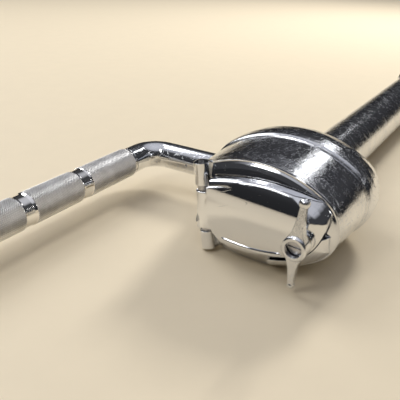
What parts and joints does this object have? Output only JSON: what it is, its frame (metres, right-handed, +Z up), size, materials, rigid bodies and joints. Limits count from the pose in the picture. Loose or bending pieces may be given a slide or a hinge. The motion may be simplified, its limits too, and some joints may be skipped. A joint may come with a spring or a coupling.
{
  "type": "torque wrench",
  "caption": "Crank-type torque wrench: oval chrome case with a hinged, latched cover over a dial, knurled offset grip, long tube and square drive.",
  "frame": {"origin": "on the flat under the case on which the wrench lies, straight below the tube axis, 25 mm behind the front rim of the case", "axes": "+X along the long tube towards the square drive, +Y from the tube axis towards the crank grip, +Z up with the wrench lying on its flat"},
  "size_m": [0.5425, 0.1496, 0.0536],
  "materials": {
    "case_chrome": "bright plated, fine scratches",
    "tube_chrome": "bright plated, pitted and scratched",
    "rod_chrome": "bright plated",
    "knurl_satin": "satin plated knurl",
    "steel": "ground steel",
    "bronze": "turned bronze",
    "dial_face": "matt enamel",
    "needle_red": "painted",
    "needle_black": "painted",
    "crystal": "clear",
    "seal": "matt"
  },
  "bodies": {
    "case_body": {"case_band": "case_chrome", "front_frame": "case_chrome", "rear_casting": "case_chrome", "case_screws": "steel", "seal_ring": "seal", "hinge_pin": "steel", "hinge_washers": "steel", "dial_plate": "dial_face", "dial_screws": "steel", "spacer_ring": "seal", "crystal": "crystal", "torsion_tube": "steel", "anchor_nut": "steel", "long_tube": "tube_chrome", "tube_pin": "steel", "drive_head": "tube_chrome", "drive_bush": "bronze", "head_cover": "tube_chrome", "head_screws": "steel", "crank_arm": "rod_chrome", "rod_set_screw": "steel", "grip_washer": "steel", "grip_nut": "rod_chrome"},
    "cover_body": {"cover": "case_chrome"},
    "latch_body": {"latch_lever": "case_chrome", "latch_spindle": "steel", "latch_finger": "steel", "latch_screw": "steel", "latch_washer": "bronze"},
    "drive_body": {"drive_shaft": "steel", "indicator_rod": "steel", "pointer": "needle_red", "detent_spring": "steel"},
    "detent_body": {"detent_ball": "steel"},
    "memory_body": {"memory_pointer": "needle_black", "reset_knob": "bronze"},
    "grip_body": {"grip_sleeve": "knurl_satin", "grip_bushes": "bronze"}
  },
  "joints": [
    {"name": "cover_hinge", "type": "hinge", "parent": "case_body", "child": "cover_body", "pos_m": [-0.0285, 0.0252, 0.025], "axis": [0, -0.1478, -0.989], "range_deg": [0, 110]},
    {"name": "latch_turn", "type": "hinge", "parent": "cover_body", "child": "latch_body", "pos_m": [-0.043, -0.0282, 0.025], "axis": [1, 0, 0], "range_deg": [0, 90]},
    {"name": "drive_twist", "type": "hinge", "parent": "case_body", "child": "drive_body", "pos_m": [0.347, 0, 0.0195], "axis": [1, 0, 0], "range_deg": [-12, 12], "stiffness_Nm_per_rad": 240},
    {"name": "detent_press", "type": "slide", "parent": "drive_body", "child": "detent_body", "axis": [0, 0, 1], "range_m": [-0.0008, 0], "stiffness_N_per_m": 2000, "deforming": ["detent_spring"]},
    {"name": "memory_turn", "type": "hinge", "parent": "case_body", "child": "memory_body", "pos_m": [-0.025, 0, 0.0195], "axis": [1, 0, 0], "range_deg": [-88, 56]},
    {"name": "grip_spin", "type": "hinge", "parent": "case_body", "child": "grip_body", "pos_m": [-0.075, 0.097, 0.0195], "axis": [1, 0, 0], "continuous": true}
  ]
}
